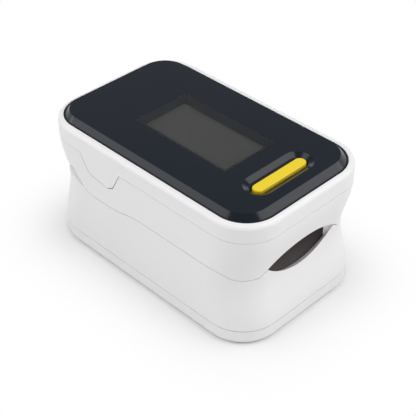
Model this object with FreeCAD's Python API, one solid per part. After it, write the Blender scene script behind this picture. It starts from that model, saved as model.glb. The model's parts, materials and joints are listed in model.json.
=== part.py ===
import FreeCAD, Part
import math
import os

# Fingertip pulse oximeter: a spring-loaded clip of two jaws on one hinge pin.
# The lower jaw holds two AAA cells and the light detector, and stands on its battery cover.
# The upper jaw holds the display, the button and the light emitter.
# Millimetres. +X is the finger mouth, +Z is up, the origin is on the ground under the middle.

Vector = FreeCAD.Vector

# ---- casing ---------------------------------------------------------------------------------
body_length = 57.1
body_width = 35.1
corner_radius = 8.45
wall = 1.5
seam_gap = 0.16
base_height = 3.3             # seam between the battery cover and the lower shell
rim_height = 28.6             # top of the white rim around the lens
cover_height = 3.75           # the top cover's seam lies this far under the rim
rim_rounding = 0.85
base_rounding = 1.1
cover_floor = 1.2
station_pitch = 2.2           # spacing of the sections that the waisted casing is lofted through

# ---- waist at the two ends ------------------------------------------------------------------
rear_waist_height = 16.4
rear_waist_depth = 2.4
front_waist_height = 13.4
front_waist_depth = 2.15

# ---- split between the jaws, in side view ---------------------------------------------------
# Heights count from the line halfway between the battery roof and the hinge's roof,
# lengths count from the hinge pin, and the nose counts from the front end.
pivot_setback = 12.15         # the pin stands this far in front of the casing's rear end
pivot_rise = 0.14
split_rise = 0.29
lobe_drop = 0.96              # lowest part of the curved dip beside the hinge
lobe_rear_reach = 3.2
lobe_front_reach = 7.4
lobe_end_reach = 17.0         # where the dip has run out into the straight split
nose_setback = 9.55           # where the split begins to fall towards the mouth
nose_run = 7.2
nose_drop = 1.86
heel_rise = 3.49              # the upper jaw's edge behind the hinge, raised so that it can tip down
rear_top_rise = 0.84          # the lower jaw's edge behind the hinge
heel_run = 3.0                # both edges reach those heights this far behind the pin
skirt_inset = 1.5             # inner skirt of the upper jaw that closes the gap behind the hinge
skirt_thickness = 0.5
skirt_rear_inset = 1.85
skirt_radius = 6.0
skirt_drop = 1.16             # the skirt ends this far under the middle line
skirt_swing = 0.35            # room for the skirt to swing rearwards
skirt_travel = 1.8            # room for the skirt to swing down

# ---- finger channel -------------------------------------------------------------------------
arch_depth = 2.65             # top of the channel, under the upper frame's inner roof
arch_half_chord = 11.0        # the arch springs from the split at this half width
channel_half_width = 7.8
channel_side_rise = 2.85      # the channel's sides start this far above its lowest line
channel_floor_rise = 1.08     # lowest line of the channel, over the battery roof
mouth_slope_setback = 6.35    # in front of this the channel floor falls to the mouth
mouth_floor_fall = 2.62
throat_half_width = 7.95      # the channel at the pads' front end
throat_side_rise = 2.1
mouth_half_width = 9.8        # the shell's mouth flares out to this at its edge
mouth_side_rise = 5.07
mouth_edge_rise = 0.67        # the mouth's edge stands this far over the pads' front end
channel_rear_reach = 8.4      # the channel's rear end, in front of the pin
stop_wall = 1.2
stop_swing = 0.3              # the lower jaw's raised edges start this far in front of the stop
pad_thickness = 0.9
upper_pad_half_width = 9.4
pad_setback = 1.1             # the pads end this far inside the mouth
sensor_setback = 23.55        # the light sensors stand this far behind the front end
sensor_clearance = 0.1

# ---- batteries ------------------------------------------------------------------------------
cell_diameter = 10.5
cell_room = 12.6              # the casing is this much longer than a cell
cell_nub_length = 1.0
cell_nub_radius = 1.9
cell_spacing = 12.6
cell_clearance = 0.06
cell_side_clearance = 0.3
bay_setback = 3.65            # the battery bay starts this far in front of the rear end
bay_rib = 1.0
contact_thickness = 0.3
contact_width = 7.6
contact_height = 6.4
contact_spring_length = 2.6
contact_spring_radius = 2.3
contact_spring_wire = 0.5
contact_spring_pitch = 1.05
roof_thickness = 0.8

# ---- hinge ----------------------------------------------------------------------------------
pin_radius = 1.0
pin_setback = 2.25            # the pin's ends lie this far inside the casing's sides
pin_clearance = 0.06
lug_radius = 2.6
lug_setback = 4.45            # the lower lugs' inner faces lie this far inside the casing's sides
lower_lug_thickness = 2.2
upper_lug_thickness = 2.2
lug_side_gap = 0.25
spring_coil_radius = 1.85
spring_wire = 0.6
spring_turns = 5
spring_pitch = 0.85
spring_setback = 2.95         # the springs' middles, inside the upper lugs
spring_leg_length = 6.0
spring_seat_width = 1.6
spring_seat_length = 1.6
spring_seat_gap = 0.05
hinge_roof_depth = 0.9        # the roof over the hinge, under the upper frame's inner roof

# ---- upper jaw electronics ------------------------------------------------------------------
roof_depth = 1.7              # top of the plate over the finger channel, under the board
board_share = 0.3045          # the board's underside lies this share of the way from the lens down to
                              # the battery roof
board_thickness = 1.0
board_clearance = 0.5
boss_radius = 1.9
screw_radius = 0.7
screw_head_radius = 1.35
screw_head_height = 0.8
screw_length = 2.4
screw_slot = 0.3
screw_end_setback = 8.05
screw_side_setback = 5.95
chip_size = 8.0
chip_thickness = 1.2
chip_setback = 9.05
display_room = 30.4           # the casing is this much longer than the display
display_width = 19.3
display_thickness = 1.45
display_setback = 6.18        # the display's front edge, behind the middle of the button's recess
display_gap = 0.2
holder_wall = 1.6
emitter_length = 8.0
emitter_width = 6.4
thin_board = 0.6
led_length = 1.6
led_width = 1.5
led_height = 0.8
led_spacing = 1.8
window_length = 5.4
window_width = 4.4
window_thickness = 0.65
window_seat = 0.22            # the windows' edges touch the curved seat this far off its middle line
light_hole_length = 4.0
light_hole_width = 3.6

# ---- lower jaw electronics ------------------------------------------------------------------
detector_length = 8.0
detector_width = 3.8
photodiode_size = 2.4
photodiode_height = 0.8
keel_wall = 0.7
ribbon_width = 3.2
ribbon_thickness = 0.16
ribbon_bend = 1.2
ribbon_reach = 4.1            # the ribbon cable rises this far in front of the pin
ribbon_slot = 0.7
connector_length = 2.6
connector_width = 5.0
connector_height = 1.2

# ---- lens and button ------------------------------------------------------------------------
rim_rear_width = 1.05         # white rim left around the lens, at its ends and at the sides
rim_front_width = 1.35
rim_side_width = 1.52
lens_radius = 6.9
lens_clearance = 0.1
lens_seat_depth = 1.2         # underside of the lens, on the ledge of the top cover
lens_edge_ledge = 0.35        # narrow shelf between the rim and the sloping band
lens_side_band = 0.96         # width of the sloping band, at the sides and the rear end
lens_front_band = 1.33
lens_band_height = 1.05
ledge_width = 1.4
ledge_thickness = 0.8
recess_length = 16.8
recess_width = 6.2
recess_radius = 3.05
recess_setback = 8.52         # middle of the button's recess, behind the front end
recess_depth = 0.6
recess_slope = 1.15
button_length = 13.8
button_width = 2.4
button_offset = 0.25          # the button stands this far in front of the recess's middle
button_sink = 0.15
button_clearance = 0.35
button_rounding = 0.25
button_flange = 0.9
button_flange_thickness = 0.8
button_travel = 0.35
switch_length = 6.0
switch_width = 4.6
switch_height = 1.7
plunger_radius = 1.2
plunger_depth = 0.9
plunger_clearance = 0.06

# ---- top cover's side tabs ------------------------------------------------------------------
tab_rear_top_reach = -0.2     # the tab's corners, in front of the pin
tab_rear_bottom_reach = 2.0
tab_front_bottom_reach = 9.1
tab_front_top_reach = 11.3
tab_drop = 4.75               # the tab's lowest edge, under the top cover's seam
tab_bottom_fall = 0.7         # the tab's lower edge falls this much towards the front
tab_rear_corner = 1.0
tab_front_corner = 1.55
tab_thickness = 0.8
lip_height = 1.0
lip_thickness = 0.7

# ---- battery cover's hooks ------------------------------------------------------------------
cover_travel = 3.5
hook_length = 5.0
hook_thickness = 1.2
hook_reach = 0.65
hook_height = 0.8
hook_level = 4.5
hook_setback = 16.55          # the hooks' middles, inside the casing's ends
slide_clearance = 0.15
grip_length = 11.0            # sunk patch with ridges under the battery cover, for the thumb
grip_width = 15.0
grip_depth = 0.5
grip_corner = 2.0
grip_setback = 14.0           # the patch's middle, behind the front end
ridge_count = 5
ridge_width = 0.9
weld = 0.4                    # pieces of one solid that are fused run this far into each other
end_flat = 0.01               # a round end's radius is this much less than half its width

# ---- values that follow from the ones above -------------------------------------------------
half_length = body_length / 2
half_width = body_width / 2
inner_half_width = half_width - wall
cover_seam_height = rim_height - cover_height
lens_base_height = rim_height - lens_seat_depth
cell_radius = cell_diameter / 2
cell_axis_height = cover_floor + cell_clearance + cell_radius
bay_top = cell_axis_height + cell_radius + cell_clearance
roof_top = bay_top + roof_thickness
board_height = lens_base_height - board_share * (lens_base_height - roof_top)
roof_height = board_height - roof_depth
arch_height = roof_height - arch_depth
hinge_roof_height = roof_height - hinge_roof_depth
middle_height = (roof_top + hinge_roof_height) / 2
pivot_x = -half_length + pivot_setback
pivot_height = middle_height + pivot_rise
split_height = middle_height + split_rise
lobe_height = middle_height - lobe_drop
lobe_rear = pivot_x + lobe_rear_reach
lobe_front = pivot_x + lobe_front_reach
lobe_end = pivot_x + lobe_end_reach
nose_start = half_length - nose_setback
nose_end = nose_start + nose_run
nose_height = middle_height - nose_drop
heel_height = middle_height + heel_rise
rear_top_height = middle_height + rear_top_rise
skirt_bottom = middle_height - skirt_drop
channel_floor_height = roof_top + channel_floor_rise
mouth_floor_height = channel_floor_height - mouth_floor_fall
mouth_slope_start = half_length - mouth_slope_setback
channel_rear = pivot_x + channel_rear_reach
sensor_x = half_length - sensor_setback
bay_rear = -half_length + bay_setback
pin_half_length = half_width - pin_setback
lower_lug_inner = half_width - lug_setback
upper_lug_inner = lower_lug_inner - lug_side_gap - upper_lug_thickness
spring_middle = upper_lug_inner - spring_setback
screw_x = half_length - screw_end_setback
screw_y = half_width - screw_side_setback
chip_x = -half_length + chip_setback
ribbon_x = pivot_x + ribbon_reach
lens_rear = -half_length + rim_rear_width
lens_front = half_length - rim_front_width
lens_half_width = half_width - rim_side_width
recess_x = half_length - recess_setback
button_x = recess_x + button_offset
display_length = body_length - display_room
display_x = recess_x - display_setback - display_length / 2
tab_rear_top = pivot_x + tab_rear_top_reach
tab_rear_bottom = pivot_x + tab_rear_bottom_reach
tab_front_bottom = pivot_x + tab_front_bottom_reach
tab_front_top = pivot_x + tab_front_top_reach
tab_bottom_height = cover_seam_height - tab_drop
hook_x = half_length - hook_setback
grip_x = half_length - grip_setback
bay_half_width = cell_spacing / 2 + cell_radius + cell_side_clearance
cell_length = body_length - cell_room
bay_length = 2 * contact_thickness + contact_spring_length + cell_length
bay_front = bay_rear + bay_length
stop_rear = channel_rear - pad_thickness - stop_wall
arch_sagitta = arch_height - nose_height
arch_radius = (arch_half_chord ** 2 + arch_sagitta ** 2) / (2 * arch_sagitta)
upper_seat_height = arch_height + seam_gap / 2 + pad_thickness
lens_top = rim_height + lens_band_height
board_top = board_height + board_thickness
keel_half_width = detector_width / 2 + keel_wall
detector_top = roof_top - photodiode_height
far = 60.0                    # cutting tools reach this far past the casing


# ---- small shape helpers --------------------------------------------------------------------
def box(x0, x1, y0, y1, z0, z1):
    return Part.makeBox(x1 - x0, y1 - y0, z1 - z0, Vector(x0, y0, z0))


def centred_box(x, y, length, width, z0, height):
    return box(x - length / 2, x + length / 2, y - width / 2, y + width / 2, z0, z0 + height)


def cylinder(x, y, z, radius, length, direction):
    return Part.makeCylinder(radius, length, Vector(x, y, z), Vector(*direction))


def both_sides(shape):
    return [shape, shape.mirror(Vector(0, 0, 0), Vector(0, 1, 0))]


def fused(shapes):
    result = shapes[0].multiFuse(shapes[1:]) if len(shapes) > 1 else shapes[0]
    return result.removeSplitter()


def arc(start, middle, end):
    return Part.Arc(Vector(*start), Vector(*middle), Vector(*end)).toShape()


def line(start, end):
    return Part.LineSegment(Vector(*start), Vector(*end)).toShape()


def rounded_rectangle(rear, front, half, radius, z):
    """Outline in the ground plane with four round corners."""
    diagonal = radius * (1 - math.sqrt(0.5))
    edges = []
    for x_side, y_side, x_end, y_end in ((front, half, -1, -1), (rear, half, 1, -1),
                                         (rear, -half, 1, 1), (front, -half, -1, 1)):
        along_x = (x_side + x_end * radius, y_side, z)
        along_y = (x_side, y_side + y_end * radius, z)
        middle = (x_side + x_end * diagonal, y_side + y_end * diagonal, z)
        edges.append((along_x, middle, along_y) if x_end * y_end < 0 else (along_y, middle, along_x))
    pieces = []
    for index, (start, middle, end) in enumerate(edges):
        pieces.append(arc(start, middle, end))
        pieces.append(line(end, edges[(index + 1) % 4][0]))
    return Part.Wire(pieces)


def prism(wire, height):
    return Part.Face(wire).extrude(Vector(0, 0, height))


def plate(rear, front, half, radius, z, height):
    return prism(rounded_rectangle(rear, front, half, radius, z), height)


def centred_plate(x, length, width, radius, z, height):
    return plate(x - length / 2, x + length / 2, width / 2, radius, z, height)


def side_extrusion(edges, half):
    """A closed outline drawn in the plane of the side view, thickened across the body."""
    face = Part.Face(Part.Wire(edges))
    face.translate(Vector(0, -half, 0))
    return face.extrude(Vector(0, 2 * half, 0))


# ---- casing shapes --------------------------------------------------------------------------
def end_inset(height, waist_height, depth):
    """How far an end of the casing stands in at a height: a raised cosine about the waist."""
    span = waist_height - base_height if height < waist_height else cover_seam_height - waist_height
    share = min(abs(height - waist_height) / span, 1.0)
    return depth * math.cos(share * math.pi / 2) ** 2


def casing(low, high, inset):
    """The waisted casing between two levels, drawn in by an inset on every side."""
    count = max(2, math.ceil((high - low) / station_pitch))
    sections = []
    for index in range(count + 1):
        height = low + (high - low) * index / count
        rear = -half_length + end_inset(height, rear_waist_height, rear_waist_depth) + inset
        front = half_length - end_inset(height, front_waist_height, front_waist_depth) - inset
        radius = corner_radius - inset
        sections.append(rounded_rectangle(rear, front, half_width - inset, radius, height))
    return Part.makeLoft(sections, True, False)


def s_curve(x0, z0, x1, z1):
    """Two equal arcs, level at both ends, from one height to another."""
    run = (x1 - x0) / 2
    rise = (z1 - z0) / 2
    radius = (run ** 2 + rise ** 2) / (2 * abs(rise))
    lift = math.copysign(radius - math.sqrt(radius ** 2 - (run / 2) ** 2), rise)
    middle = (x0 + run, 0, z0 + rise)
    first = arc((x0, 0, z0), (x0 + run / 2, 0, z0 + lift), middle)
    second = arc(middle, (x1 - run / 2, 0, z1 - lift), (x1, 0, z1))
    return [first, second]


def rear_lobe(shift):
    """Arc from the hinge pin's seam down to the level bottom of the lobe."""
    run = lobe_rear - pivot_x
    drop = pivot_height - lobe_height
    radius = (run ** 2 + drop ** 2) / (2 * drop)
    middle_z = lobe_height + radius - math.sqrt(radius ** 2 - (run / 2) ** 2)
    return arc((pivot_x, 0, pivot_height + shift), (lobe_rear - run / 2, 0, middle_z + shift),
               (lobe_rear, 0, lobe_height + shift))


def below_split(shift, rear_height):
    """Everything under the split line, moved by a shift; behind the pin it climbs to a height."""
    heel_x = pivot_x - heel_run
    edges = [line((-far, 0, -far), (-far, 0, rear_height)),
             line((-far, 0, rear_height), (heel_x, 0, rear_height)),
             line((heel_x, 0, rear_height), (pivot_x, 0, pivot_height + shift)),
             rear_lobe(shift),
             line((lobe_rear, 0, lobe_height + shift), (lobe_front, 0, lobe_height + shift))]
    edges += s_curve(lobe_front, lobe_height + shift, lobe_end, split_height + shift)
    edges.append(line((lobe_end, 0, split_height + shift), (nose_start, 0, split_height + shift)))
    edges += s_curve(nose_start, split_height + shift, nose_end, nose_height + shift)
    edges += [line((nose_end, 0, nose_height + shift), (far, 0, nose_height + shift)),
              line((far, 0, nose_height + shift), (far, 0, -far)),
              line((far, 0, -far), (-far, 0, -far))]
    return side_extrusion(edges, far)


def arch(offset, rear, front):
    """Round roof of the finger channel, as a bar along the body; offset grows it."""
    axis_z = arch_height - arch_radius
    bar = cylinder(rear, 0, axis_z, arch_radius + offset, front - rear, (1, 0, 0))
    return bar.common(box(rear, front, -far, far, base_height + wall, far))


def channel_section(x, half, floor, side, grow):
    """One cross-section of the lower half of the finger channel, open upwards."""
    top = arch_height + pad_thickness
    edges = [arc((x, -half - grow, side), (x, 0, floor - grow), (x, half + grow, side)),
             line((x, half + grow, side), (x, half + grow, top)),
             line((x, half + grow, top), (x, -half - grow, top)),
             line((x, -half - grow, top), (x, -half - grow, side))]
    return Part.Wire(edges)


def mouth_edge():
    """Where the front face stands at the waist, which the finger mouth is cut into."""
    return half_length - front_waist_depth


def pad_front():
    return mouth_edge() - pad_setback


def channel(rear, grow):
    """The hollow for the finger: level over the batteries, falling away to the mouth."""
    front = pad_front()
    level = (channel_half_width, channel_floor_height, channel_floor_height + channel_side_rise)
    lowered = (throat_half_width, mouth_floor_height, mouth_floor_height + throat_side_rise)
    sections = [channel_section(rear, *level, grow),
                channel_section(mouth_slope_start, *level, grow),
                channel_section(front, *lowered, grow)]
    return Part.makeLoft(sections, True, True)


def mouth_flare():
    """The funnel from the pads out to the mouth's edge, carried on past the front face."""
    edge = (mouth_half_width, mouth_floor_height + mouth_edge_rise, mouth_floor_height + mouth_side_rise)
    throat = (throat_half_width, mouth_floor_height, mouth_floor_height + throat_side_rise)
    sections = [channel_section(pad_front(), *throat, 0),
                channel_section(mouth_edge(), *edge, 0),
                channel_section(mouth_edge() + wall, *edge, 0)]
    return Part.makeLoft(sections, True, True)


def lower_jaw_space():
    bar = arch(-seam_gap / 2, channel_rear + stop_swing, far)
    return below_split(-seam_gap / 2, rear_top_height).fuse(bar)


def upper_jaw_cut():
    return below_split(seam_gap / 2, heel_height).fuse(arch(seam_gap / 2, channel_rear, far))


def skirt_outline(grow_side, grow_rear, z):
    """Plan of the upper jaw's inner skirt at its outer face."""
    rear = -half_length + rear_waist_depth + skirt_rear_inset - grow_rear
    return rounded_rectangle(rear, half_length, half_width - skirt_inset + grow_side, skirt_radius, z)


def skirt():
    """Inner wall under the upper jaw's edge behind the hinge, from the heel down into the lower jaw."""
    height = hinge_roof_height + weld - skirt_bottom
    outer = prism(skirt_outline(0, 0, skirt_bottom), height)
    inner = prism(skirt_outline(-skirt_thickness, -skirt_thickness, skirt_bottom), height)
    behind_hinge = box(-far, pivot_x - seam_gap, -far, far, 0, far)
    return outer.cut(inner).common(behind_hinge)


def skirt_room():
    """What is cut from the lower shell's walls so that the skirt can swing down inside them."""
    low = skirt_bottom - skirt_travel
    room = prism(skirt_outline(slide_clearance, skirt_swing, low), far)
    return room.common(box(-far, pivot_x + skirt_swing, -far, far, 0, far))


def spring_seat(side, direction):
    """Pad on a jaw, under or over the end of a torsion spring's leg."""
    coil_reach = (spring_turns + 0.5) * spring_pitch / 2
    leg_y = side * spring_middle + direction * coil_reach
    leg_x = pivot_x - spring_leg_length + spring_seat_length / 2
    face = pivot_height + direction * (spring_coil_radius + spring_wire / 2 + spring_seat_gap)
    if direction < 0:
        return centred_box(leg_x, leg_y, spring_seat_length, spring_seat_width, roof_top - wall / 2,
                           face - roof_top + wall / 2)
    return centred_box(leg_x, leg_y, spring_seat_length, spring_seat_width, face,
                       hinge_roof_height + wall / 2 - face)


# ---- lower jaw ------------------------------------------------------------------------------
def lower_lug(side):
    outer = lower_lug_inner + lower_lug_thickness
    y0 = min(side * lower_lug_inner, side * outer)
    y1 = max(side * lower_lug_inner, side * outer)
    post = box(pivot_x - lug_radius, pivot_x + lug_radius, y0, y1, roof_top - weld, pivot_height)
    eye = cylinder(pivot_x, y0, pivot_height, lug_radius, lower_lug_thickness, (0, 1, 0))
    return post.fuse(eye)


def hook_slots():
    """Undercut slots in the shell's side walls, and the notch each hook drops out through."""
    slots = []
    outer = inner_half_width + hook_reach + slide_clearance
    low = hook_level - slide_clearance
    high = hook_level + hook_height + slide_clearance
    for x in (-hook_x, hook_x):
        rear = x - hook_length / 2 - cover_travel - slide_clearance
        front = x + hook_length / 2 + slide_clearance
        slots.append(box(rear, front, inner_half_width - hook_reach, outer, low, high))
        slots.append(box(rear, front - cover_travel, inner_half_width - hook_reach, outer,
                         base_height - wall, high))
    return fused(slots)


def lower_shell():
    shell = casing(base_height + seam_gap / 2, cover_seam_height, 0).common(lower_jaw_space())
    hollow = casing(base_height - wall, cover_seam_height, wall)
    bay = box(bay_rear, bay_front, -bay_half_width, bay_half_width, 0, bay_top)
    keel = box(stop_rear, sensor_x + detector_length / 2 + keel_wall,
               -keel_half_width, keel_half_width, detector_top - thin_board - keel_wall, bay_top)
    shell = shell.cut(bay.cut(keel))
    pocket_inner = bay_half_width + bay_rib
    for side in both_sides(box(-far, far, pocket_inner, far, 0, bay_top)):
        shell = shell.cut(hollow.common(side))
    deck_rear = stop_rear + wall
    for side in both_sides(box(deck_rear, nose_start, pocket_inner, inner_half_width,
                               bay_top - wall, lobe_height - wall)):
        shell = shell.cut(side)
    shell = shell.cut(channel(channel_rear - pad_thickness, pad_thickness))
    shell = shell.cut(mouth_flare())
    hinge_room = box(-far, stop_rear, -inner_half_width, inner_half_width, roof_top, far)
    shell = shell.cut(hollow.common(hinge_room))
    shell = shell.cut(skirt_room())
    shell = fused([shell, lower_lug(1), lower_lug(-1), spring_seat(1, -1), spring_seat(-1, -1)])
    shell = shell.cut(cylinder(pivot_x, -pin_half_length, pivot_height, pin_radius,
                               2 * pin_half_length, (0, 1, 0)))
    shell = shell.cut(centred_box(sensor_x, 0, detector_length + 2 * sensor_clearance,
                                  detector_width + 2 * sensor_clearance,
                                  detector_top - thin_board, far))
    ribbon_half = ribbon_width / 2 + sensor_clearance
    shell = shell.cut(box(ribbon_x - ribbon_slot, sensor_x, -ribbon_half, ribbon_half,
                          detector_top, channel_floor_height))
    for side in both_sides(hook_slots()):
        shell = shell.cut(side)
    return shell


def battery_cover():
    outline = rounded_rectangle(-half_length, half_length, half_width, corner_radius, 0)
    height = base_height - seam_gap / 2
    body = prism(outline, height)
    bottom = [edge for edge in body.Edges if edge.BoundBox.ZMax < seam_gap]
    body = body.makeFillet(base_rounding, bottom)
    body = body.cut(plate(-half_length + wall, half_length - wall, inner_half_width,
                          corner_radius - wall, cover_floor, height))
    body = body.cut(centred_plate(grip_x, grip_length, grip_width, grip_corner, -wall, wall + grip_depth))
    ridges = []
    ridge_pitch = grip_length / (ridge_count + 1)
    for index in range(ridge_count):
        x = grip_x - grip_length / 2 + ridge_pitch * (index + 1)
        ridges.append(centred_box(x, 0, ridge_width, grip_width - 2 * grip_corner, slide_clearance,
                                  grip_depth + weld))
    hooks = []
    tongue_outer = inner_half_width - slide_clearance
    for x in (-hook_x, hook_x):
        rear = x - hook_length / 2
        front = x + hook_length / 2
        hooks.append(box(rear, front, tongue_outer - hook_thickness, tongue_outer,
                         cover_floor - slide_clearance, hook_level + hook_height))
        hooks.append(box(rear, front, tongue_outer - slide_clearance, inner_half_width,
                         cover_floor - slide_clearance, height - wall))
        hooks.append(box(rear, front, tongue_outer - hook_thickness, inner_half_width + hook_reach,
                         hook_level, hook_level + hook_height))
    return fused([body] + ridges + both_sides(hooks[0].multiFuse(hooks[1:])))


def cut_for_window(pad):
    return pad.cut(centred_box(sensor_x, 0, window_length + 2 * sensor_clearance,
                               window_width + 2 * sensor_clearance, 0, far))


def lower_pad():
    outer = channel(channel_rear - pad_thickness, pad_thickness)
    inner = channel(channel_rear, 0)
    pad = outer.common(lower_jaw_space()).cut(inner)
    return cut_for_window(pad)


def battery_cell(y, nub_direction):
    """An AAA cell; the nub is the positive end."""
    free_end = bay_rear + contact_thickness
    if nub_direction > 0:
        free_end = bay_front - contact_thickness
    base = free_end - nub_direction * cell_length
    can = cylinder(base, y, cell_axis_height, cell_radius, cell_length - cell_nub_length,
                   (nub_direction, 0, 0))
    shoulder = base + nub_direction * (cell_length - cell_nub_length)
    nub = cylinder(shoulder, y, cell_axis_height, cell_nub_radius, cell_nub_length,
                   (nub_direction, 0, 0))
    return fused([can, nub])


def contact_plate(x, y, width):
    return box(x, x + contact_thickness, y - width / 2, y + width / 2,
               cell_axis_height - contact_height / 2, cell_axis_height + contact_height / 2)


def contact_spring(x, y):
    """Open helical spring along the battery axis, between a plate and a cell's flat end."""
    length = contact_spring_length - contact_spring_wire
    path = Part.makeLongHelix(contact_spring_pitch, length, contact_spring_radius)
    section = Part.Wire(Part.makeCircle(contact_spring_wire / 2, Vector(contact_spring_radius, 0, 0),
                                        Vector(0, 1, 0)))
    coil = path.makePipeShell([section], True, True)
    coil.rotate(Vector(0, 0, 0), Vector(0, 1, 0), 90)
    coil.translate(Vector(x + contact_spring_wire / 2, y, cell_axis_height))
    return coil


def torsion_spring(side):
    """Coil around the pin, with one leg on each jaw behind it."""
    height = (spring_turns + 0.5) * spring_pitch
    path = Part.makeLongHelix(spring_pitch, height, spring_coil_radius)
    section = Part.Wire(Part.makeCircle(spring_wire / 2, Vector(spring_coil_radius, 0, 0),
                                        Vector(0, 1, 0)))
    coil = path.makePipeShell([section], True, True)
    first_leg = cylinder(spring_coil_radius, 0, 0, spring_wire / 2, spring_leg_length, (0, -1, 0))
    last_leg = cylinder(-spring_coil_radius, 0, height, spring_wire / 2, spring_leg_length, (0, -1, 0))
    spring = fused([coil, first_leg, last_leg])
    spring.rotate(Vector(0, 0, 0), Vector(1, 0, 0), -90)
    spring.rotate(Vector(0, 0, 0), Vector(0, 1, 0), 90)
    spring.translate(Vector(pivot_x, side * spring_middle - height / 2, pivot_height))
    return spring


def hinge_pin():
    return cylinder(pivot_x, -pin_half_length, pivot_height, pin_radius, 2 * pin_half_length, (0, 1, 0))


def ribbon_cable():
    """Flat cable from the main board's connector to the detector board, in front of the pin."""
    top = board_height - connector_height / 2
    low = detector_top + ribbon_thickness / 2
    inner = ribbon_bend - ribbon_thickness / 2
    outer = ribbon_bend + ribbon_thickness / 2
    end = sensor_x - photodiode_size / 2 - 2 * sensor_clearance
    centre_x = ribbon_x + ribbon_bend
    centre_z = low + ribbon_bend
    slant = math.sqrt(0.5)
    edges = [line((centre_x - inner, 0, top), (centre_x - outer, 0, top)),
             line((centre_x - outer, 0, top), (centre_x - outer, 0, centre_z)),
             arc((centre_x - outer, 0, centre_z), (centre_x - outer * slant, 0, centre_z - outer * slant),
                 (centre_x, 0, centre_z - outer)),
             line((centre_x, 0, centre_z - outer), (end, 0, centre_z - outer)),
             line((end, 0, centre_z - outer), (end, 0, centre_z - inner)),
             line((end, 0, centre_z - inner), (centre_x, 0, centre_z - inner)),
             arc((centre_x, 0, centre_z - inner), (centre_x - inner * slant, 0, centre_z - inner * slant),
                 (centre_x - inner, 0, centre_z)),
             line((centre_x - inner, 0, centre_z), (centre_x - inner, 0, top))]
    return side_extrusion(edges, ribbon_width / 2)


# ---- upper jaw ------------------------------------------------------------------------------
def tab_outline(grow, y):
    """Side tab of the top cover in side view, grown by a gap for the frame's pocket."""
    top = cover_seam_height + lip_height
    bottom = tab_bottom_height - grow
    rear_z = bottom + tab_bottom_fall
    corners = [(tab_rear_top - grow, top), (tab_rear_top - grow, cover_seam_height),
               (tab_rear_bottom - grow, rear_z + tab_rear_corner / 2),
               (tab_rear_bottom - grow + tab_rear_corner, rear_z),
               (tab_front_bottom + grow - tab_front_corner, bottom),
               (tab_front_bottom + grow, bottom + tab_front_corner / 2),
               (tab_front_top + grow, cover_seam_height), (tab_front_top + grow, top)]
    points = [Vector(x, y, z) for x, z in corners]
    return Part.Face(Part.makePolygon(points + points[:1]))


def side_tab(grow):
    inner = half_width - tab_thickness - grow
    return tab_outline(grow, inner).extrude(Vector(0, tab_thickness + grow, 0))


def upper_lug(side):
    y0 = min(side * upper_lug_inner, side * (upper_lug_inner + upper_lug_thickness))
    y1 = y0 + upper_lug_thickness
    post = box(pivot_x - lug_radius, pivot_x + lug_radius, y0, y1, pivot_height, hinge_roof_height + weld)
    eye = cylinder(pivot_x, y0, pivot_height, lug_radius, upper_lug_thickness, (0, 1, 0))
    return post.fuse(eye)


def boss_places():
    return [(x, y) for x in (-screw_x, screw_x) for y in (-screw_y, screw_y)]


def upper_pad_seat():
    """The hollow that the upper pad fills, in the round roof of the finger channel."""
    rear = channel_rear - pad_thickness
    front = pad_front()
    return arch(seam_gap / 2 + pad_thickness, rear, front).common(
        box(rear, front, -upper_pad_half_width, upper_pad_half_width, 0, far))


def upper_frame():
    frame = casing(base_height + seam_gap / 2, cover_seam_height, 0).cut(upper_jaw_cut())
    hollow = casing(base_height - wall, cover_seam_height, wall)
    frame = frame.cut(upper_pad_seat())
    frame = frame.cut(hollow.common(box(-far, far, -far, far, roof_height, far)))
    pocket_inner = arch_half_chord + pad_thickness + bay_rib
    for side in both_sides(box(stop_rear + wall, screw_x - boss_radius, pocket_inner, inner_half_width,
                               split_height + wall, far)):
        frame = frame.cut(side)
    hinge_room = box(-far, stop_rear, -inner_half_width, inner_half_width, 0, hinge_roof_height)
    frame = frame.cut(hollow.common(hinge_room))
    lip_outer = wall - lip_thickness + slide_clearance
    lip = plate(-half_length + lip_outer, half_length - lip_outer, half_width - lip_outer,
                corner_radius - lip_outer, cover_seam_height - wall, wall + lip_height)
    lip = lip.cut(plate(-half_length + wall, half_length - wall, inner_half_width,
                        corner_radius - wall, cover_seam_height - wall, wall + lip_height))
    bosses = [cylinder(x, y, roof_height - weld, boss_radius, board_height - roof_height + weld, (0, 0, 1))
              for x, y in boss_places()]
    seats = [spring_seat(1, 1), spring_seat(-1, 1)]
    frame = fused([frame, lip, skirt(), upper_lug(1), upper_lug(-1)] + seats + bosses)
    for x, y in boss_places():
        frame = frame.cut(cylinder(x, y, board_top - screw_length, screw_radius, screw_length, (0, 0, 1)))
    frame = frame.cut(cylinder(pivot_x, -pin_half_length, pivot_height, pin_radius + pin_clearance,
                               2 * pin_half_length, (0, 1, 0)))
    frame = frame.cut(centred_box(ribbon_x, 0, 2 * ribbon_slot, ribbon_width + 2 * ribbon_slot,
                                  hinge_roof_height - wall, 2 * wall + roof_height - hinge_roof_height))
    frame = frame.cut(centred_box(sensor_x, 0, light_hole_length, light_hole_width, arch_height,
                                  far - arch_height))
    for side in both_sides(side_tab(seam_gap)):
        frame = frame.cut(side)
    return frame


def upper_pad():
    pad = upper_pad_seat().cut(below_split(seam_gap / 2, heel_height))
    pad = pad.cut(arch(seam_gap / 2, channel_rear, far))
    return cut_for_window(pad)


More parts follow.
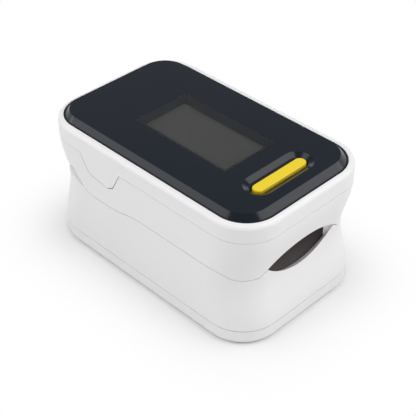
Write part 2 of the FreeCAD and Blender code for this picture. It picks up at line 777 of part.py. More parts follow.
def top_cover():
    low = cover_seam_height + seam_gap / 2
    outline = rounded_rectangle(-half_length, half_length, half_width, corner_radius, low)
    cover = prism(outline, rim_height - low)
    rim = [edge for edge in cover.Edges if edge.BoundBox.ZMin > rim_height - seam_gap]
    cover = cover.makeFillet(rim_rounding, rim)
    rear = lens_rear - lens_clearance
    front = lens_front + lens_clearance
    half = lens_half_width + lens_clearance
    corner = lens_radius + lens_clearance
    cover = cover.cut(plate(rear, front, half, corner, lens_base_height, far))
    cover = cover.cut(plate(rear + ledge_width, front - ledge_width, half - ledge_width,
                            corner - ledge_width, low - wall, far))
    cover = cover.cut(plate(-half_length + wall, half_length - wall, inner_half_width,
                            corner_radius - wall, low - wall,
                            lens_base_height - ledge_thickness - low + wall))
    clear_of_lip = wall - lip_thickness
    cover = cover.cut(plate(-half_length + clear_of_lip, half_length - clear_of_lip,
                            half_width - clear_of_lip, corner_radius - clear_of_lip, low - wall,
                            wall + lip_height))
    return fused([cover] + both_sides(side_tab(0)))


def lens():
    height = rim_height - lens_base_height
    slab = plate(lens_rear, lens_front, lens_half_width, lens_radius, lens_base_height, height)
    low = lens_edge_ledge
    side = lens_edge_ledge + lens_side_band
    end = lens_edge_ledge + lens_front_band
    band = Part.makeLoft([
        rounded_rectangle(lens_rear + low, lens_front - low, lens_half_width - low, lens_radius - low,
                          rim_height),
        rounded_rectangle(lens_rear + side, lens_front - end, lens_half_width - side,
                          lens_radius - end, lens_top),
    ], True, True)
    body = fused([slab, band])
    floor = lens_top - recess_depth
    rise = recess_slope
    recess = Part.makeLoft([
        rounded_rectangle(recess_x - recess_width / 2 + rise, recess_x + recess_width / 2 - rise,
                          recess_length / 2 - rise, recess_radius - rise, floor),
        rounded_rectangle(recess_x - recess_width / 2, recess_x + recess_width / 2,
                          recess_length / 2, recess_radius, lens_top),
    ], True, True)
    body = body.cut(recess)
    slot = button_width + 2 * button_clearance
    return body.cut(centred_plate(button_x, slot, button_length + 2 * button_clearance,
                                  slot / 2 - end_flat, lens_base_height - wall, far))


def power_button():
    top = lens_top - button_sink
    flange_top = lens_base_height - sensor_clearance
    cap = centred_plate(button_x, button_width, button_length, button_width / 2 - end_flat,
                        flange_top - button_flange_thickness, top - flange_top + button_flange_thickness)
    crown = [edge for edge in cap.Edges if edge.BoundBox.ZMin > top - seam_gap]
    cap = cap.makeFillet(button_rounding, crown)
    flange = centred_plate(button_x, button_width + 2 * button_flange, button_length + 2 * button_flange,
                           button_width / 2 + button_flange - end_flat,
                           flange_top - button_flange_thickness, button_flange_thickness)
    return fused([cap, flange])


def button_underside():
    return lens_base_height - sensor_clearance - button_flange_thickness


def switch_plunger():
    low = board_top + switch_height - plunger_depth
    return cylinder(button_x, 0, low, plunger_radius, button_underside() - low, (0, 0, 1))


def tact_switch():
    body = centred_box(button_x, 0, switch_width, switch_length, board_top, switch_height)
    low = board_top + switch_height - plunger_depth - button_travel - plunger_clearance
    return body.cut(cylinder(button_x, 0, low, plunger_radius + plunger_clearance, far, (0, 0, 1)))


def main_board():
    inset = wall + board_clearance
    waist = end_inset(board_height, rear_waist_height, rear_waist_depth)
    waist_front = end_inset(board_height, front_waist_height, front_waist_depth)
    board = plate(-half_length + inset + waist, half_length - inset - waist_front, half_width - inset,
                  corner_radius - inset, board_height, board_thickness)
    for x, y in boss_places():
        board = board.cut(cylinder(x, y, 0, screw_radius + sensor_clearance, far, (0, 0, 1)))
    return board


def board_screws():
    screws = []
    for x, y in boss_places():
        shank = cylinder(x, y, board_top - screw_length, screw_radius, screw_length, (0, 0, 1))
        head = cylinder(x, y, board_top, screw_head_radius, screw_head_height, (0, 0, 1))
        slot = centred_box(x, y, 2 * screw_head_radius, screw_slot,
                           board_top + screw_head_height / 2, screw_head_height / 2)
        screws.append(fused([shank, head]).cut(slot))
    return Part.makeCompound(screws)


def display_panel():
    top = lens_base_height - display_gap
    return centred_box(display_x, 0, display_length, display_width, top - display_thickness,
                       display_thickness)


def display_holder():
    height = lens_base_height - display_gap - display_thickness - board_top
    block = centred_box(display_x, 0, display_length, display_width, board_top, height)
    return block.cut(centred_box(display_x, 0, display_length - 2 * holder_wall,
                                 display_width - 2 * holder_wall, board_top, height))


def emitter_board():
    return centred_box(sensor_x, 0, emitter_length, emitter_width, roof_height, thin_board)


def emitter_leds():
    leds = []
    for y in (-led_spacing / 2, led_spacing / 2):
        leds.append(centred_box(sensor_x, y, led_length, led_width, roof_height - led_height,
                                led_height))
    return Part.makeCompound(leds)


def sensor_window(low):
    return centred_box(sensor_x, 0, window_length, window_width, low, window_thickness)


def ribbon_connector():
    block = centred_box(ribbon_x, 0, connector_length, connector_width,
                        board_height - connector_height, connector_height)
    return block.cut(centred_box(ribbon_x, 0, ribbon_thickness, ribbon_width,
                                 board_height - connector_height, connector_height / 2))


# ---- all the nodes --------------------------------------------------------------------------
half_spacing = cell_spacing / 2
nodes = {
    "lower_shell": lower_shell(),
    "battery_cover": battery_cover(),
    "lower_pad": lower_pad(),
    "battery_cell_left": battery_cell(half_spacing, 1),
    "battery_cell_right": battery_cell(-half_spacing, -1),
    "bridge_contact": contact_plate(bay_rear, 0, cell_spacing + contact_width),
    "bridge_spring": contact_spring(bay_rear + contact_thickness, half_spacing),
    "positive_contact": contact_plate(bay_front - contact_thickness, half_spacing, contact_width),
    "negative_contact": contact_plate(bay_front - contact_thickness, -half_spacing, contact_width),
    "negative_spring": contact_spring(bay_front - contact_thickness - contact_spring_length,
                                      -half_spacing),
    "detector_board": centred_box(sensor_x, 0, detector_length, detector_width,
                                  detector_top - thin_board, thin_board),
    "photodiode": centred_box(sensor_x, 0, photodiode_size, photodiode_size, detector_top,
                              photodiode_height),
    "detector_window": sensor_window(channel_floor_height - pad_thickness + window_seat),
    "hinge_pin": hinge_pin(),
    "torsion_spring_left": torsion_spring(1),
    "torsion_spring_right": torsion_spring(-1),
    "ribbon_cable": ribbon_cable(),
    "upper_frame": upper_frame(),
    "upper_pad": upper_pad(),
    "top_cover": top_cover(),
    "lens": lens(),
    "display_panel": display_panel(),
    "display_holder": display_holder(),
    "main_board": main_board(),
    "board_screws": board_screws(),
    "controller_chip": centred_box(chip_x, 0, chip_size, chip_size, board_top, chip_thickness),
    "ribbon_connector": ribbon_connector(),
    "emitter_board": emitter_board(),
    "emitter_leds": emitter_leds(),
    "emitter_window": sensor_window(upper_seat_height - window_seat - window_thickness),
    "tact_switch": tact_switch(),
    "switch_plunger": switch_plunger(),
    "power_button": power_button(),
}

os.makedirs("parts", exist_ok=True)
for name, shape in nodes.items():
    shape.exportStep(os.path.join("parts", name + ".step"))
    print(name, "solids", len(shape.Solids), "volume", round(shape.Volume, 2), "valid", shape.isValid())
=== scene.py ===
import bpy
import bmesh
import json
import math
from contextlib import contextmanager
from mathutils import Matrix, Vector

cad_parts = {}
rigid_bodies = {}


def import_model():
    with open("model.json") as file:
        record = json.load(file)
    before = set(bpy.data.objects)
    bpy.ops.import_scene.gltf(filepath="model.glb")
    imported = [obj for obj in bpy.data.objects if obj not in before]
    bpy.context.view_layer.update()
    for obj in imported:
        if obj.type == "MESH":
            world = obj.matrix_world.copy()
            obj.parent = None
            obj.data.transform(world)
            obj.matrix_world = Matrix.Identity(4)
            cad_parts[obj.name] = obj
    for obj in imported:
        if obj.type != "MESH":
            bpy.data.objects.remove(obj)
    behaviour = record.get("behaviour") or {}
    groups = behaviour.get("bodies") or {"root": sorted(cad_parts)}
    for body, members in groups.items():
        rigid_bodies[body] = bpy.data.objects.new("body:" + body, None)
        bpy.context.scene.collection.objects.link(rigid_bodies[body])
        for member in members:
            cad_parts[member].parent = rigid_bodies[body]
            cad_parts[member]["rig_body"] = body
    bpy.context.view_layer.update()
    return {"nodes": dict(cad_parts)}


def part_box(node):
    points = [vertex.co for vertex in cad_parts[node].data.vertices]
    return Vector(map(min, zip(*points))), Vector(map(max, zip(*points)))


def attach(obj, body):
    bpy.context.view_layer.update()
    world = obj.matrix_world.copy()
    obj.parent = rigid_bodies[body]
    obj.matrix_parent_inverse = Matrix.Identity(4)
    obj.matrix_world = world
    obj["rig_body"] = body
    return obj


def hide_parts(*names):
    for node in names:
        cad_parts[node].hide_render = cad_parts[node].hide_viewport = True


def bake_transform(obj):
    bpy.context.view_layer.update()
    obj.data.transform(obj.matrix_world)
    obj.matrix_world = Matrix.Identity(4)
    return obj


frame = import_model()
print("frame loaded:", len(frame["nodes"]), "nodes")

mm = 0.001


# helpers for objects and meshes
def addObject(name, data):
    thing = bpy.data.objects.new(name, data)
    bpy.context.scene.collection.objects.link(thing)
    return thing


def midpoint(low, high):
    return tuple((a + b) / 2 for a, b in zip(low, high))


@contextmanager
def editing(mesh):
    bm = bmesh.new()
    bm.from_mesh(mesh)
    yield bm
    bm.to_mesh(mesh)
    bm.free()


def finishedMesh(source, name):
    depsgraph = bpy.context.evaluated_depsgraph_get()
    mesh = bpy.data.meshes.new_from_object(source.evaluated_get(depsgraph))
    mesh.name = name
    bpy.data.objects.remove(source)
    return mesh


def dress(mesh, *chosen):
    mesh.materials.clear()
    for material in chosen:
        mesh.materials.append(material)


# helpers for node trees: an input takes a value, or the socket that feeds it
def newTree(name):
    material = bpy.data.materials.new(name)
    material.use_nodes = True
    tree = material.node_tree
    tree.nodes.clear()
    return material, tree


def addNode(tree, kind, inputs=None, **properties):
    node = tree.nodes.new(kind)
    for key, value in properties.items():
        setattr(node, key, value)
    for key, value in (inputs or {}).items():
        if hasattr(value, "is_linked"):
            tree.links.new(value, node.inputs[key])
        else:
            node.inputs[key].default_value = value
    return node


def compute(tree, operation, first, second, **properties):
    node = addNode(tree, "ShaderNodeMath", {0: first, 1: second}, operation=operation, **properties)
    return node.outputs[0]


def computeVector(tree, operation, *values):
    return addNode(tree, "ShaderNodeVectorMath", dict(enumerate(values)), operation=operation)


def backgroundRays(tree):
    path = addNode(tree, "ShaderNodeLightPath").outputs
    direct = compute(tree, "ADD", path["Is Camera Ray"], path["Is Glossy Ray"])
    return compute(tree, "ADD", direct, path["Is Transmission Ray"], use_clamp=True)


# camera and lamps: azimuth turns from +X towards +Y, elevation rises from the floor
camera = {"azimuth": 315.0, "elevation": 38.0, "distance": 218.6 * mm,
          "lookAt": (2.279 * mm, -0.715 * mm, 11.973 * mm),
          "focalLength": 92.885, "sensorWidth": 36.0, "clip": (0.01, 20.0)}
lamps = {
    "leftSoftbox": {"azimuth": 227, "elevation": 46, "distance": 0.60, "size": (0.50, 0.72),
                    "watts": 1.9, "mirrored": True},
    "rightSoftbox": {"azimuth": 45, "elevation": 46, "distance": 0.60, "size": (0.50, 0.72),
                     "watts": 2.4, "mirrored": True},
    "frontFill": {"azimuth": 315, "elevation": 35, "distance": 0.60, "size": (0.5, 0.5),
                  "watts": 0.85, "mirrored": False},
}


def placeRound(thing, settings):
    azimuth, elevation = math.radians(settings["azimuth"]), math.radians(settings["elevation"])
    away = Vector((math.cos(azimuth) * math.cos(elevation), math.sin(azimuth) * math.cos(elevation),
                   math.sin(elevation)))
    thing.location = Vector(camera["lookAt"]) + away * settings["distance"]
    thing.rotation_mode = "QUATERNION"
    thing.rotation_quaternion = (-away).to_track_quat("-Z", "Y")


def makeCamera():
    data = bpy.data.cameras.new("studioCamera")
    data.lens = camera["focalLength"]
    data.sensor_width = camera["sensorWidth"]
    data.clip_start, data.clip_end = camera["clip"]
    holder = addObject("studioCamera", data)
    placeRound(holder, camera)
    bpy.context.scene.camera = holder


def makeLamps():
    for name, lamp in lamps.items():
        data = bpy.data.lights.new(name, "AREA")
        data.shape = "RECTANGLE"
        data.size, data.size_y = lamp["size"]
        data.energy = lamp["watts"]
        holder = addObject(name, data)
        placeRound(holder, lamp)
        holder.visible_glossy = lamp["mirrored"]


# floor and world: near the object's outline the floor shows lit grey, real shade plus a painted
# shadow that lightens outward; away from the outline the floor fades into white
# the floor grey is the paper's colour and also the tone of the painted shadow round the object
studio = {"floorSize": 4.0, "floorDrop": 0.02 * mm, "floorAndPaintedShadowGrey": (0.78, 0.78, 0.78, 1),
          "floorRoughness": 0.7, "floorSpecular": 0.1,
          "outline": (0.0201, 0.0091, 0.0), "outlineRadius": 0.00845,
          "paintedShadowStart": -0.0018, "paintedShadowEnd": 0.022, "paintedShadowPower": 3.2, "contact": (-0.0003, 0.0009),
          "worldLevel": 0.32, "horizonLow": 0.30, "horizonHigh": 0.42,
          "white": (1, 1, 1, 1)}


def makeFloor():
    half, level = studio["floorSize"] / 2, -studio["floorDrop"]
    mesh = bpy.data.meshes.new("studioFloor")
    mesh.from_pydata([(-half, -half, level), (half, -half, level), (half, half, level),
                      (-half, half, level)], [], [(0, 1, 2, 3)])
    material, tree = newTree("paperWithPaintedShadow")
    surface = addNode(tree, "ShaderNodeBsdfPrincipled", {
        "Base Color": studio["floorAndPaintedShadowGrey"], "Roughness": studio["floorRoughness"],
        "Specular IOR Level": studio["floorSpecular"]})
    coords = addNode(tree, "ShaderNodeTexCoord")
    folded = computeVector(tree, "ABSOLUTE", coords.outputs["Object"])
    past = computeVector(tree, "SUBTRACT", folded.outputs[0], studio["outline"])
    clipped = computeVector(tree, "MAXIMUM", past.outputs[0], (0, 0, 0))
    reach = computeVector(tree, "LENGTH", clipped.outputs[0]).outputs["Value"]
    # painted shadow: between the start and end margins past the outline the grey floor gives way to
    # white along a curve, and right at the edge it stays grey
    paintedShadowStart, paintedShadowEnd, near, far = [
        studio["outlineRadius"] + margin
        for margin in (studio["paintedShadowStart"], studio["paintedShadowEnd"], *studio["contact"])]
    left = addNode(tree, "ShaderNodeMapRange", {
        "Value": reach, "From Min": paintedShadowStart, "From Max": paintedShadowEnd, "To Min": 1.0, "To Max": 0.0})
    curved = compute(tree, "POWER", left.outputs[0], studio["paintedShadowPower"])
    fade = compute(tree, "SUBTRACT", 1.0, curved)
    clear = addNode(tree, "ShaderNodeMapRange", {"Value": reach, "From Min": near, "From Max": far},
                    interpolation_type="SMOOTHSTEP")
    shown = compute(tree, "MULTIPLY", fade, clear.outputs[0])
    seen = compute(tree, "MULTIPLY", shown, backgroundRays(tree))
    white = addNode(tree, "ShaderNodeEmission", {"Color": studio["white"], "Strength": 1.0})
    mixed = addNode(tree, "ShaderNodeMixShader", {0: seen, 1: surface.outputs[0],
                                                  2: white.outputs[0]})
    addNode(tree, "ShaderNodeOutputMaterial", {"Surface": mixed.outputs[0]})
    dress(mesh, material)
    addObject("studioFloor", mesh)


def makeWorld():
    world = bpy.data.worlds.new("studioWorld")
    world.use_nodes = True
    tree = world.node_tree
    tree.nodes.clear()
    coords = addNode(tree, "ShaderNodeTexCoord")
    split = addNode(tree, "ShaderNodeSeparateXYZ", {0: coords.outputs["Generated"]})
    low = addNode(tree, "ShaderNodeMapRange", {
        "Value": split.outputs["Z"], "From Min": studio["horizonLow"],
        "From Max": studio["horizonHigh"], "To Min": 1.0, "To Max": 0.0},
        interpolation_type="SMOOTHSTEP")
    seen = compute(tree, "MULTIPLY", low.outputs[0], backgroundRays(tree))
    fill, white = [addNode(tree, "ShaderNodeBackground", {"Color": studio["white"],
                                                          "Strength": strength})
                   for strength in (studio["worldLevel"], 1.0)]
    mixed = addNode(tree, "ShaderNodeMixShader", {0: seen, 1: fill.outputs[0],
                                                  2: white.outputs[0]})
    addNode(tree, "ShaderNodeOutputWorld", {"Surface": mixed.outputs[0]})
    bpy.context.scene.world = world


makeCamera()
makeFloor()
makeWorld()
makeLamps()
bpy.context.scene.view_settings.view_transform = "Standard"
print("studio ready")

# finishes: tone and roughnessDrift say how far colour and roughness wander, toneSize over how many
# millimetres, and grain is the width in millimetres of the fine bumps
finishes = {
    "casingWhite": {"colour": (0.825, 0.812, 0.818), "roughness": 0.42, "specular": 0.5,
                    "tone": 0.012, "toneSize": 9.0, "roughnessDrift": 0.04, "grain": 0.14,
                    "bump": 0.10},
    "lensBlack": {"colour": (0.0045, 0.0085, 0.0155), "roughness": 0.16, "specular": 0.36,
                  "tone": 0.05, "toneSize": 14.0, "roughnessDrift": 0.02, "grain": 0.5,
                  "bump": 0.01},
    "windowMask": {"colour": (0.006, 0.0088, 0.013), "roughness": 0.65, "specular": 0.1,
                   "tone": 0.03, "toneSize": 3.0, "roughnessDrift": 0.03, "grain": 0.2,
                   "bump": 0.02},
    "keyYellow": {"colour": (0.80, 0.60, 0.022), "roughness": 0.38, "specular": 0.42,
                  "tone": 0.02, "toneSize": 5.0, "roughnessDrift": 0.03, "grain": 0.12,
                  "bump": 0.08},
    "siliconeGrey": {"colour": (0.044, 0.034, 0.034), "roughness": 0.62, "specular": 0.4,
                     "tone": 0.08, "toneSize": 4.0, "roughnessDrift": 0.05, "grain": 0.10,
                     "bump": 0.16},
    "displayGlass": {"colour": (0.0115, 0.0108, 0.0104), "roughness": 0.30, "specular": 0.3,
                     "tone": 0.02, "toneSize": 6.0, "roughnessDrift": 0.02, "grain": 0.3,
                     "bump": 0.01},
    "windowRed": {"colour": (0.30, 0.012, 0.020), "roughness": 0.12, "specular": 0.5,
                  "tone": 0.05, "toneSize": 2.0, "roughnessDrift": 0.02, "grain": 0.3,
                  "bump": 0.02},
    "solderMask": {"colour": (0.010, 0.10, 0.035), "roughness": 0.30, "specular": 0.5,
                   "tone": 0.25, "toneSize": 1.6, "roughnessDrift": 0.08, "grain": 0.25,
                   "bump": 0.12},
    "epoxyBlack": {"colour": (0.022, 0.022, 0.024), "roughness": 0.55, "specular": 0.4,
                   "tone": 0.10, "toneSize": 1.5, "roughnessDrift": 0.06, "grain": 0.08,
                   "bump": 0.25},
    "mouldedBlack": {"colour": (0.035, 0.035, 0.038), "roughness": 0.50, "specular": 0.4,
                     "tone": 0.06, "toneSize": 4.0, "roughnessDrift": 0.05, "grain": 0.12,
                     "bump": 0.15},
    "cellSleeve": {"colour": (0.030, 0.033, 0.042), "roughness": 0.28, "specular": 0.5,
                   "tone": 0.05, "toneSize": 5.0, "roughnessDrift": 0.06, "grain": 0.8,
                   "bump": 0.06},
    "nickelSteel": {"colour": (0.62, 0.61, 0.58), "roughness": 0.26, "specular": 0.5,
                    "metallic": 1.0, "tone": 0.08, "toneSize": 1.2, "roughnessDrift": 0.10,
                    "grain": 0.10, "bump": 0.10},
    "springWire": {"colour": (0.50, 0.50, 0.50), "roughness": 0.30, "specular": 0.5,
                   "metallic": 1.0, "tone": 0.10, "toneSize": 0.8, "roughnessDrift": 0.08,
                   "grain": 0.06, "bump": 0.12},
    "amberFilm": {"colour": (0.55, 0.19, 0.02), "roughness": 0.25, "specular": 0.5,
                  "tone": 0.10, "toneSize": 2.0, "roughnessDrift": 0.05, "grain": 0.3,
                  "bump": 0.05},
    "ledEpoxy": {"colour": (0.78, 0.74, 0.62), "roughness": 0.15, "specular": 0.5,
                 "tone": 0.03, "toneSize": 0.8, "roughnessDrift": 0.03, "grain": 0.2,
                 "bump": 0.02},
}
noise = {"driftDetail": 3.0, "driftRoughness": 0.55, "driftLow": 0.25, "driftHigh": 0.75,
         "grainDetail": 2.0, "bumpDistance": 0.05 * mm}


def makeFinish(name, look):
    material, tree = newTree(name)
    coords = addNode(tree, "ShaderNodeTexCoord").outputs["Object"]
    drift = addNode(tree, "ShaderNodeTexNoise", {
        "Vector": coords, "Scale": 1 / (look["toneSize"] * mm), "Detail": noise["driftDetail"],
        "Roughness": noise["driftRoughness"]}).outputs["Fac"]
    dark, light = [tuple(part * (1 + side * look["tone"]) for part in look["colour"]) + (1,)
                   for side in (-1, 1)]
    colour = addNode(tree, "ShaderNodeMix", {"Factor": drift, "A": dark, "B": light},
                     data_type="RGBA")
    rough = addNode(tree, "ShaderNodeMapRange", {
        "Value": drift, "From Min": noise["driftLow"], "From Max": noise["driftHigh"],
        "To Min": look["roughness"] - look["roughnessDrift"],
        "To Max": look["roughness"] + look["roughnessDrift"]})
    grain = addNode(tree, "ShaderNodeTexNoise", {
        "Vector": coords, "Scale": 1 / (look["grain"] * mm), "Detail": noise["grainDetail"]})
    bump = addNode(tree, "ShaderNodeBump", {
        "Height": grain.outputs["Fac"], "Strength": look["bump"],
        "Distance": noise["bumpDistance"]})
    surface = addNode(tree, "ShaderNodeBsdfPrincipled", {
        "Base Color": colour.outputs["Result"], "Roughness": rough.outputs[0],
        "Metallic": look.get("metallic", 0.0), "Specular IOR Level": look["specular"],
        "Normal": bump.outputs[0]})
    addNode(tree, "ShaderNodeOutputMaterial", {"Surface": surface.outputs[0]})
    return material


# clear pane: its shadow rays pass straight through, so the display under it is lit
pane = {"bottom": (21.9 * mm, 10.7 * mm), "flare": 1.5 * mm, "gap": 0.004 * mm,
        "overcut": 0.5 * mm, "wallFacing": 0.99, "colour": (0.93, 0.94, 0.95, 1), "ior": 1.49,
        "specular": 0.36, "roughness": 0.14}


def makePaneFinish():
    material, tree = newTree("clearAcrylic")
    surface = addNode(tree, "ShaderNodeBsdfPrincipled", {
        "Base Color": pane["colour"], "IOR": pane["ior"], "Roughness": pane["roughness"],
        "Specular IOR Level": pane["specular"], "Transmission Weight": 1.0})
    clear = addNode(tree, "ShaderNodeBsdfTransparent", {"Color": pane["colour"]})
    path = addNode(tree, "ShaderNodeLightPath")
    mixed = addNode(tree, "ShaderNodeMixShader", {
        0: path.outputs["Is Shadow Ray"], 1: surface.outputs[0], 2: clear.outputs[0]})
    addNode(tree, "ShaderNodeOutputMaterial", {"Surface": mixed.outputs[0]})
    return material


materials = {name: makeFinish(name, look) for name, look in finishes.items()}
materials["clearAcrylic"] = makePaneFinish()
print("finishes ready:", len(materials))

# pieces that copy a solid of the frame, with even shading
shading = {"mergeDistance": 0.002 * mm, "shortestEdge": 0.0005 * mm, "sharpDegrees": 28,
           "lensSharpDegrees": 20}


def bodyOf(node):
    return frame["nodes"][node]["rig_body"]


def shadeByAngle(mesh, degrees):
    mesh.shade_smooth()
    with editing(mesh) as bm:
        for edge in bm.edges:
            edge.smooth = not (edge.is_manifold and edge.calc_face_angle(0) > math.radians(degrees))


def shadeAfresh(mesh, degrees):
    stored = mesh.attributes.get("custom_normal")
    if stored:
        mesh.attributes.remove(stored)
    shadeByAngle(mesh, degrees)


def evenNormals(piece):
    weighted = piece.modifiers.new("evenNormals", "WEIGHTED_NORMAL")
    weighted.keep_sharp = True


def mergedMesh(node, name):
    mesh = frame["nodes"][node].data.copy()
    mesh.name = name
    with editing(mesh) as bm:
        bmesh.ops.remove_doubles(bm, verts=bm.verts, dist=shading["mergeDistance"])
        bmesh.ops.dissolve_degenerate(bm, edges=bm.edges, dist=shading["shortestEdge"])
    return mesh


def addPiece(name, mesh, body, slot, *chosen):
    if chosen:
        dress(mesh, *chosen)
    piece = addObject(name, mesh)
    if body:
        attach(piece, body)
    return piece


def smoothCopy(node, material, slot, name):
    mesh = mergedMesh(node, name)
    shadeAfresh(mesh, shading["sharpDegrees"])
    piece = addPiece(name, mesh, bodyOf(node), slot, material)
    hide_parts(node)
    evenNormals(piece)


copies = {
    "lower_shell": ("casingWhite", "shell", "lowerCasing"),
    "battery_cover": ("casingWhite", "shell", "batteryLid"),
    "upper_frame": ("casingWhite", "shell", "upperCasing"),
    "top_cover": ("casingWhite", "shell", "rimCover"),
    "power_button": ("keyYellow", "button", "powerKey"),
    "hinge_pin": ("nickelSteel", "steel", "hingeAxle"),
    "battery_cell_left": ("cellSleeve", "cell", "leftCell"),
    "battery_cell_right": ("cellSleeve", "cell", "rightCell"),
    "torsion_spring_left": ("springWire", "spring", "leftJawSpring"),
    "torsion_spring_right": ("springWire", "spring", "rightJawSpring"),
    "bridge_spring": ("springWire", "spring", "bridgeCoil"),
    "negative_spring": ("springWire", "spring", "negativeCoil"),
    "switch_plunger": ("epoxyBlack", "chip", "switchStem"),
    "board_screws": ("nickelSteel", "steel", "boardScrews"),
}
for node, (material, slot, name) in copies.items():
    smoothCopy(node, materials[material], slot, name)

# nodes that keep their own shape
kept = {"bridge_contact": "nickelSteel", "positive_contact": "nickelSteel",
        "negative_contact": "nickelSteel", "detector_board": "solderMask",
        "photodiode": "epoxyBlack", "detector_window": "windowRed",
        "display_panel": "displayGlass", "display_holder": "mouldedBlack",
        "main_board": "solderMask", "controller_chip": "epoxyBlack",
        "ribbon_connector": "mouldedBlack", "emitter_board": "solderMask",
        "emitter_leds": "ledEpoxy", "emitter_window": "windowRed", "tact_switch": "nickelSteel"}
for node, material in kept.items():
    dress(frame["nodes"][node].data, materials[material])
print("casing and inner parts ready")

# steel ends on the two cells: the faces inside sleeveShare of the radius, and the flat ends
cell = {"sleeveShare": 0.78, "lidFacing": 0.9}


def bareEnds(name, node):
    low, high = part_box(node)
    axisY, axisZ = midpoint(low, high)[1:]
    radius = (high.z - low.z) / 2
    mesh = bpy.data.objects[name].data
    mesh.materials.append(materials["nickelSteel"])
    for face in mesh.polygons:
        off = math.hypot(face.center.y - axisY, face.center.z - axisZ)
        if off < radius * cell["sleeveShare"] or abs(face.normal.x) > cell["lidFacing"]:
            face.material_index = 1


bareEnds("leftCell", "battery_cell_left")
bareEnds("rightCell", "battery_cell_right")
print("cells ready")

# flat cable, cut across into steps; on the real object it bends as the jaws part
flatCable = {"step": 0.4 * mm, "stillBelow": 0.9 * mm, "stillAbove": 0.6 * mm, "sharpDegrees": 35}


def makeFlatCable():
    low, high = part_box("ribbon_cable")
    mesh = mergedMesh("ribbon_cable", "flatCable")
    with editing(mesh) as bm:
        for index in range(1, int((high.z - low.z) / flatCable["step"])):
            bmesh.ops.bisect_plane(bm, geom=bm.verts[:] + bm.edges[:] + bm.faces[:],
                                   plane_co=(0, 0, low.z + index * flatCable["step"]),
                                   plane_no=(0, 0, 1))
    shadeAfresh(mesh, flatCable["sharpDegrees"])
    piece = addPiece("flatCable", mesh, None, "cable", materials["amberFilm"])
    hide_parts("ribbon_cable")
    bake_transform(piece)


makeFlatCable()
print("flat cable ready")

# silicone liners with rounded lips, moulded from the pads' own space
liner = {"voxel": 0.24 * mm, "easing": 0.5, "passes": 9, "inset": 0.02 * mm}


def makeLiner(node, name):
    raw = addObject("rawLiner", mergedMesh(node, "rawLiner"))
    skin = raw.modifiers.new("skin", "REMESH")
    skin.mode, skin.voxel_size = "VOXEL", liner["voxel"]
    ease = raw.modifiers.new("ease", "SMOOTH")
    ease.factor, ease.iterations = liner["easing"], liner["passes"]
    slim = raw.modifiers.new("slim", "DISPLACE")
    slim.strength, slim.mid_level = -liner["inset"], 0.0
    mesh = finishedMesh(raw, name)
    mesh.shade_smooth()
    piece = addPiece(name, mesh, bodyOf(node), "pad", materials["siliconeGrey"])
    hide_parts(node)


makeLiner("lower_pad", "lowerLiner")
makeLiner("upper_pad", "upperLiner")
print("silicone liners ready")

# bent steel legs round the chip, the cable connector and the switch: heights are over the board,
# and below zero for a part that hangs under it
legs = {
    "chipLegs": {"node": "controller_chip", "sides": 4, "count": 12, "pitch": 0.55 * mm,
                 "width": 0.24 * mm, "thick": 0.13 * mm, "reach": 0.85 * mm,
                 "shoulder": 0.5 * mm, "foot": 0.065 * mm},
    "connectorLegs": {"node": "ribbon_connector", "sides": 2, "count": 7, "pitch": 0.6 * mm,
                      "width": 0.26 * mm, "thick": 0.12 * mm, "reach": 0.6 * mm,
                      "shoulder": -0.45 * mm, "foot": -0.06 * mm},
    "switchLegs": {"node": "tact_switch", "sides": 2, "count": 2, "pitch": 3.6 * mm,
                   "width": 0.6 * mm, "thick": 0.16 * mm, "reach": 0.8 * mm,
                   "shoulder": 0.55 * mm, "foot": 0.08 * mm},
}
legInputs = {"Sides": "Int", "Count": "Int", "Pitch": "Float", "Width": "Float",
             "Thickness": "Float", "Start": "Vector", "End": "Vector", "Start Bend": "Vector",
             "End Bend": "Vector", "Centre": "Vector", "Metal": "Material"}


def makeLegTree(curveSteps=8):
    tree = bpy.data.node_groups.new("legRows", "GeometryNodeTree")
    tree.interface.new_socket("Geometry", in_out="OUTPUT", socket_type="NodeSocketGeometry")
    for name, kind in legInputs.items():
        tree.interface.new_socket(name, in_out="INPUT", socket_type="NodeSocket" + kind)
    given = addNode(tree, "NodeGroupInput").outputs
    bend = addNode(tree, "GeometryNodeCurvePrimitiveBezierSegment", {
        "Resolution": curveSteps, "Start": given["Start"], "Start Handle": given["Start Bend"],
        "End Handle": given["End Bend"], "End": given["End"]})
    profile = addNode(tree, "GeometryNodeCurvePrimitiveQuadrilateral", {
        "Width": given["Width"], "Height": given["Thickness"]})
    leg = addNode(tree, "GeometryNodeCurveToMesh", {
        "Curve": bend.outputs[0], "Profile Curve": profile.outputs[0], "Fill Caps": True})
    gaps = compute(tree, "SUBTRACT", given["Count"], 1.0)
    span = compute(tree, "MULTIPLY", gaps, given["Pitch"])
    first = compute(tree, "MULTIPLY", span, -0.5)
    start = addNode(tree, "ShaderNodeCombineXYZ", {"Y": first})
    step = addNode(tree, "ShaderNodeCombineXYZ", {"Y": given["Pitch"]})
    seats = addNode(tree, "GeometryNodeMeshLine", {
        "Count": given["Count"], "Start Location": start.outputs[0], "Offset": step.outputs[0]})
    row = addNode(tree, "GeometryNodeInstanceOnPoints", {
        "Points": seats.outputs[0], "Instance": leg.outputs[0]})
    turn = compute(tree, "DIVIDE", 2 * math.pi, given["Sides"])
    index = addNode(tree, "GeometryNodeInputIndex")
    angle = compute(tree, "MULTIPLY", index.outputs[0], turn)
    euler = addNode(tree, "ShaderNodeCombineXYZ", {"Z": angle})
    facing = addNode(tree, "FunctionNodeEulerToRotation", {0: euler.outputs[0]})
    hub = addNode(tree, "GeometryNodePoints", {"Count": given["Sides"],
                                               "Position": given["Centre"]})
    ring = addNode(tree, "GeometryNodeInstanceOnPoints", {
        "Points": hub.outputs[0], "Instance": row.outputs[0], "Rotation": facing.outputs[0]})
    real = addNode(tree, "GeometryNodeRealizeInstances", {"Geometry": ring.outputs[0]})
    coated = addNode(tree, "GeometryNodeSetMaterial", {"Geometry": real.outputs[0],
                                                       "Material": given["Metal"]})
    addNode(tree, "NodeGroupOutput", {0: coated.outputs[0]})
    return tree


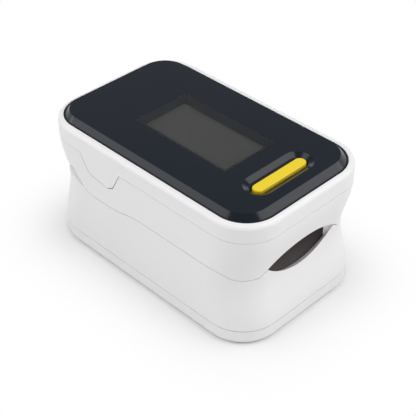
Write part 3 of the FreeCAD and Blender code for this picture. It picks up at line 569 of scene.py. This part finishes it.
def growFromTree(name, tree, values):
    seed = addObject("seed", bpy.data.meshes.new("seed"))
    grown = seed.modifiers.new(name, "NODES")
    grown.node_group = tree
    for item in tree.interface.items_tree:
        if item.in_out == "INPUT":
            grown[item.identifier] = values[item.name]
    mesh = finishedMesh(seed, name)
    with editing(mesh) as bm:
        bmesh.ops.recalc_face_normals(bm, faces=bm.faces)
    return mesh


def makeLegs(name, leg, tree):
    low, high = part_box(leg["node"])
    centreX, centreY = midpoint(low, high)[:2]
    board = high.z if leg["foot"] < 0 else low.z
    half = (high.x - low.x) / 2
    tip, bend = half + leg["reach"], half + leg["reach"] / 2
    mesh = growFromTree(name, tree, {
        "Sides": leg["sides"], "Count": leg["count"], "Pitch": leg["pitch"],
        "Width": leg["width"], "Thickness": leg["thick"],
        "Start": (half, 0, leg["shoulder"]), "Start Bend": (bend, 0, leg["shoulder"]),
        "End": (tip, 0, leg["foot"]), "End Bend": (bend, 0, leg["foot"]),
        "Centre": (centreX, centreY, board), "Metal": materials["nickelSteel"]})
    addPiece(name, mesh, bodyOf(leg["node"]), "steel")


legTree = makeLegTree()
for name, leg in legs.items():
    makeLegs(name, leg, legTree)
print("legs ready")


# lens and the clear pane in its window, whose sides widen towards the top
def taperedBlock(name, lowSize, highSize, lowZ, highZ):
    centreX, centreY = midpoint(*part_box("display_panel"))[:2]
    corners = [(-1, -1), (1, -1), (1, 1), (-1, 1)]
    points = [(centreX + sx * size[0] / 2, centreY + sy * size[1] / 2, z)
              for size, z in ((lowSize, lowZ), (highSize, highZ)) for sx, sy in corners]
    faces = [(3, 2, 1, 0), (4, 5, 6, 7), (0, 1, 5, 4), (1, 2, 6, 5), (2, 3, 7, 6), (3, 0, 4, 7)]
    mesh = bpy.data.meshes.new(name)
    mesh.from_pydata(points, [], faces)
    return mesh


def widened(sides, growth):
    return tuple(side + growth for side in sides)


def makeLens():
    lowest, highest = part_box("lens")
    over, slope = pane["overcut"], pane["flare"] / (highest.z - lowest.z)
    spread = 2 * slope * over
    low, high = pane["bottom"], widened(pane["bottom"], 2 * pane["flare"])
    hole = taperedBlock("windowCutter", widened(low, -spread), widened(high, spread),
                        lowest.z - over, highest.z + over)
    dress(hole, materials["windowMask"])
    cutter = addObject("windowCutter", hole)
    raw = addObject("rawLens", mergedMesh("lens", "rawLens"))
    dress(raw.data, materials["lensBlack"])
    cut = raw.modifiers.new("window", "BOOLEAN")
    cut.operation, cut.solver, cut.object = "DIFFERENCE", "EXACT", cutter
    cut.material_mode = "TRANSFER"
    mesh = finishedMesh(raw, "darkLens")
    bpy.data.objects.remove(cutter)
    shadeByAngle(mesh, shading["lensSharpDegrees"])
    piece = addPiece("darkLens", mesh, "upper_jaw", "lens")
    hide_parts("lens")
    evenNormals(piece)
    inside = -2 * pane["gap"]
    block = taperedBlock("displayWindow", widened(low, inside), widened(high, inside),
                         lowest.z, highest.z)
    addPiece("displayWindow", block, "upper_jaw", "lens", materials["clearAcrylic"],
             materials["windowMask"])
    for face in block.polygons:
        face.material_index = 0 if abs(face.normal.z) > pane["wallFacing"] else 1


makeLens()
print("lens ready")
